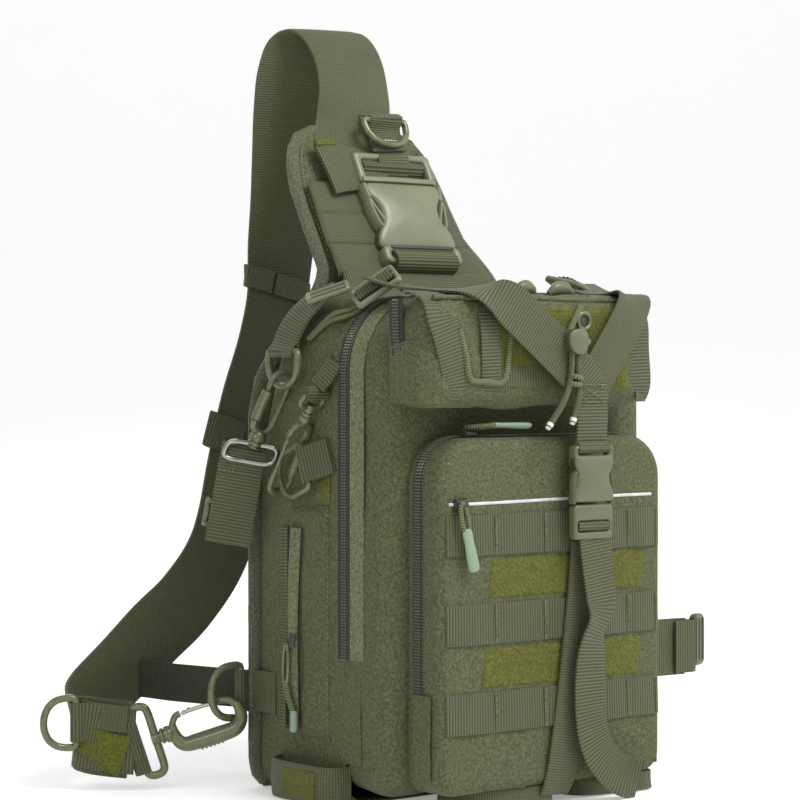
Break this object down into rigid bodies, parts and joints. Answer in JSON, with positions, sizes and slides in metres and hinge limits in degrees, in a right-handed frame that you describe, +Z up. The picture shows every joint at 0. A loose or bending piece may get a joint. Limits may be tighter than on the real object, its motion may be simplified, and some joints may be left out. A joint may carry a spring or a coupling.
{
  "type": "sling bag",
  "caption": "Padded single-strap sling bag with zipped compartments, webbing rows, side-release buckles, snap hooks and D-rings.",
  "frame": {"origin": "centre of the base, on the surface that the bag stands on", "axes": "+Z up; the back panel is on the +Y side and the pockets on the -Y side; +X is the bag's right seen from the front"},
  "size_m": [0.4372, 0.2756, 0.5167],
  "materials": {
    "fabric": "olive coated nylon twill",
    "padded_back": "olive air mesh over foam",
    "webbing": "ribbed olive webbing",
    "loop": "fuzzy yellow-green loop tape",
    "plastic": "olive moulded nylon, satin",
    "zip": "black coil zip",
    "pull": "pale green moulded rubber",
    "elastic": "braided elastic cord",
    "metal": "olive coated steel wire",
    "steel": "bright nickel"
  },
  "bodies": {
    "bag": {"back_panel": "padded_back", "main_tub": "fabric", "inner_divider": "fabric", "side_pockets": "fabric", "large_buckle_female": "plastic", "buckle_anchor_webbing": "webbing", "shoulder_strap_rear": "webbing", "strap_end": "webbing", "main_hook_eye": "plastic", "side_hook_ribbed_eye": "plastic", "ring_tabs": "webbing", "right_strap": "webbing", "corner_loops": "webbing"},
    "main_flap": {"flap_shell": "fabric", "main_zip": "zip", "top_pouch": "fabric", "pouch_patch": "loop", "pocket_rim": "fabric", "y_strap_legs": "webbing", "bungee_cord": "elastic", "bungee_tails": "elastic"},
    "pocket_flap": {"pocket_shell": "fabric", "pocket_zip": "zip", "molle_rows": "webbing", "loop_patches": "loop", "y_strap_stem": "webbing", "small_buckle_female": "plastic", "lower_strap": "webbing"},
    "strap_upper": {"shoulder_strap_front": "webbing", "large_buckle_male": "plastic", "strap_ring_tab": "webbing"},
    "large_prong_left": {"large_prong_left": "plastic"},
    "large_prong_right": {"large_prong_right": "plastic"},
    "strap_ring": {"strap_ring": "plastic"},
    "small_male": {"small_buckle_male": "plastic"},
    "small_prong_left": {"small_prong_left": "plastic"},
    "small_prong_right": {"small_prong_right": "plastic"},
    "ladder_lock_left": {"ladder_lock_left": "plastic"},
    "ladder_lock_right": {"ladder_lock_right": "plastic"},
    "slip_slider": {"slip_zip_slider": "zip"},
    "slip_pull": {"slip_zip_pull": "pull"},
    "pocket_slider": {"pocket_zip_slider": "pull"},
    "main_slider": {"main_zip_slider": "pull"},
    "side_slider": {"side_zip_slider": "pull"},
    "cord_lock": {"cord_lock": "plastic"},
    "lock_button": {"cord_lock_button": "plastic"},
    "corner_ring": {"corner_ring": "plastic"},
    "main_hook": {"main_hook": "plastic"},
    "main_gate": {"main_hook_gate": "steel"},
    "strap_end_ring": {"strap_end_ring": "plastic"},
    "upper_ring": {"side_ring_upper": "plastic"},
    "long_hook": {"side_hook_long": "plastic"},
    "long_gate": {"side_hook_long_gate": "steel"},
    "accessory": {"accessory_eye": "steel", "accessory_strap": "webbing"},
    "lower_ring": {"side_ring_lower": "plastic"},
    "ribbed_hook": {"side_hook_ribbed": "plastic"},
    "ribbed_gate": {"side_hook_ribbed_gate": "plastic"},
    "right_ring": {"right_ring": "plastic"},
    "tri_glide": {"tri_glide": "plastic"}
  },
  "joints": [
    {"name": "flap_hinge", "type": "hinge", "parent": "bag", "child": "main_flap", "pos_m": [0, -0.01325, 0.012], "axis": [1, 0, 0], "range_deg": [0, 22]},
    {"name": "pocket_hinge", "type": "hinge", "parent": "main_flap", "child": "pocket_flap", "pos_m": [0, -0.06625, 0.014], "axis": [1, 0, 0], "range_deg": [0, 18]},
    {"name": "buckle_release", "type": "slide", "parent": "bag", "child": "strap_upper", "axis": [0, 0.4552, 0.8904], "range_m": [0, 0.034]},
    {"name": "large_prong_right_squeeze", "type": "slide", "parent": "strap_upper", "child": "large_prong_right", "axis": [-1, 0, 0], "range_m": [0, 0.0025], "stiffness_N_per_m": 600, "springref_m": -0.001},
    {"name": "large_prong_left_squeeze", "type": "slide", "parent": "strap_upper", "child": "large_prong_left", "axis": [1, 0, 0], "range_m": [0, 0.0025]},
    {"name": "strap_ring_swing", "type": "hinge", "parent": "strap_upper", "child": "strap_ring", "pos_m": [-0.006, 0.08107, 0.44071], "axis": [-1, 0, 0], "range_deg": [0, 90]},
    {"name": "small_buckle_release", "type": "slide", "parent": "pocket_flap", "child": "small_male", "axis": [0, 0, -1], "range_m": [0, 0.022]},
    {"name": "small_prong_right_squeeze", "type": "slide", "parent": "small_male", "child": "small_prong_right", "axis": [-1, 0, 0], "range_m": [0, 0.002], "stiffness_N_per_m": 400, "springref_m": -0.001},
    {"name": "small_prong_left_squeeze", "type": "slide", "parent": "small_male", "child": "small_prong_left", "axis": [1, 0, 0], "range_m": [0, 0.002]},
    {"name": "ladder_left_tilt", "type": "hinge", "parent": "bag", "child": "ladder_lock_left", "pos_m": [-0.08667, 0.00735, 0.328], "axis": [-0.9205, -0.3907, 0], "range_deg": [0, 25]},
    {"name": "ladder_right_tilt", "type": "hinge", "parent": "bag", "child": "ladder_lock_right", "pos_m": [0.09101, 0.00818, 0.328], "axis": [-0.9781, 0.2079, 0], "range_deg": [0, 25]},
    {"name": "slip_zip_slide", "type": "slide", "parent": "pocket_flap", "child": "slip_slider", "axis": [1, 0, 0], "range_m": [0, 0.05]},
    {"name": "slip_pull_swing", "type": "hinge", "parent": "slip_slider", "child": "slip_pull", "pos_m": [-0.0775, -0.0937, 0.184], "axis": [-1, 0, 0], "range_deg": [0, 60]},
    {"name": "pocket_zip_slide", "type": "slide", "parent": "pocket_flap", "child": "pocket_slider", "axis": [1, 0, 0], "range_m": [0, 0.018]},
    {"name": "main_zip_slide", "type": "slide", "parent": "main_flap", "child": "main_slider", "axis": [1, 0, 0], "range_m": [-0.02, 0.012]},
    {"name": "side_zip_slide", "type": "slide", "parent": "bag", "child": "side_slider", "axis": [0, 0, 1], "range_m": [0, 0.07]},
    {"name": "cord_lock_slide", "type": "slide", "parent": "main_flap", "child": "cord_lock", "axis": [0, 0, -1], "range_m": [0, 0.008]},
    {"name": "lock_button_press", "type": "slide", "parent": "cord_lock", "child": "lock_button", "axis": [-1, 0, 0], "range_m": [0, 0.0028], "stiffness_N_per_m": 500, "springref_m": -0.001},
    {"name": "corner_ring_swing", "type": "hinge", "parent": "bag", "child": "corner_ring", "pos_m": [-0.121, 0.084, 0.0635], "axis": [0, 0, 1], "range_deg": [-3, 3]},
    {"name": "main_hook_swivel", "type": "hinge", "parent": "bag", "child": "main_hook", "pos_m": [-0.16131, 0.10568, 0.03687], "axis": [0.749, -0.586, 0.309], "range_deg": [-5, 3]},
    {"name": "main_gate_open", "type": "hinge", "parent": "main_hook", "child": "main_gate", "pos_m": [-0.15453, 0.10038, 0.05049], "axis": [0.6162, 0.7876, 0.0001], "range_deg": [0, 12], "stiffness_Nm_per_rad": 0.02, "springref_deg": -17.19},
    {"name": "strap_end_ring_swing", "type": "hinge", "parent": "bag", "child": "strap_end_ring", "pos_m": [-0.213, 0.137, 0.045], "axis": [0, 0, -1], "range_deg": [-20, 25]},
    {"name": "upper_ring_swing", "type": "hinge", "parent": "bag", "child": "upper_ring", "pos_m": [-0.118, 0.04, 0.284], "axis": [0, 1, 0], "range_deg": [0, 15]},
    {"name": "long_hook_swing", "type": "hinge", "parent": "upper_ring", "child": "long_hook", "pos_m": [-0.118, 0.044, 0.262], "axis": [0, 1, 0], "range_deg": [0, 10]},
    {"name": "long_gate_open", "type": "hinge", "parent": "long_hook", "child": "long_gate", "pos_m": [-0.13061, 0.05158, 0.24251], "axis": [0.0668, 0.9437, 0.3239], "range_deg": [0, 12], "stiffness_Nm_per_rad": 0.02, "springref_deg": -17.19},
    {"name": "accessory_swivel", "type": "hinge", "parent": "long_hook", "child": "accessory", "pos_m": [-0.12675, 0.05555, 0.23014], "axis": [0.2501, -0.3301, 0.9102], "range_deg": [-10, 10]},
    {"name": "lower_ring_swing", "type": "hinge", "parent": "bag", "child": "lower_ring", "pos_m": [-0.118, 0.017, 0.212], "axis": [0, -0.3697, -0.9292], "range_deg": [-3, 3]},
    {"name": "ribbed_hook_swivel", "type": "hinge", "parent": "bag", "child": "ribbed_hook", "pos_m": [-0.118, 0.01671, 0.24056], "axis": [0, 0.5593, -0.829], "range_deg": [-6, 6]},
    {"name": "ribbed_gate_open", "type": "hinge", "parent": "ribbed_hook", "child": "ribbed_gate", "pos_m": [-0.125, 0.02454, 0.22896], "axis": [0, -0.829, -0.5593], "range_deg": [0, 12], "stiffness_Nm_per_rad": 0.02, "springref_deg": -17.19},
    {"name": "right_ring_swing", "type": "hinge", "parent": "bag", "child": "right_ring", "pos_m": [0.114, -0.04, 0.062], "axis": [0, 0.9539, -0.3], "range_deg": [0, 25]},
    {"name": "tri_glide_slide", "type": "slide", "parent": "bag", "child": "tri_glide", "axis": [-1, 0, 0], "range_m": [0, 0.06]}
  ],
  "couplings": [
    {"joint": "large_prong_left_squeeze", "follows": "large_prong_right_squeeze", "ratio": 1},
    {"joint": "small_prong_left_squeeze", "follows": "small_prong_right_squeeze", "ratio": 1}
  ]
}
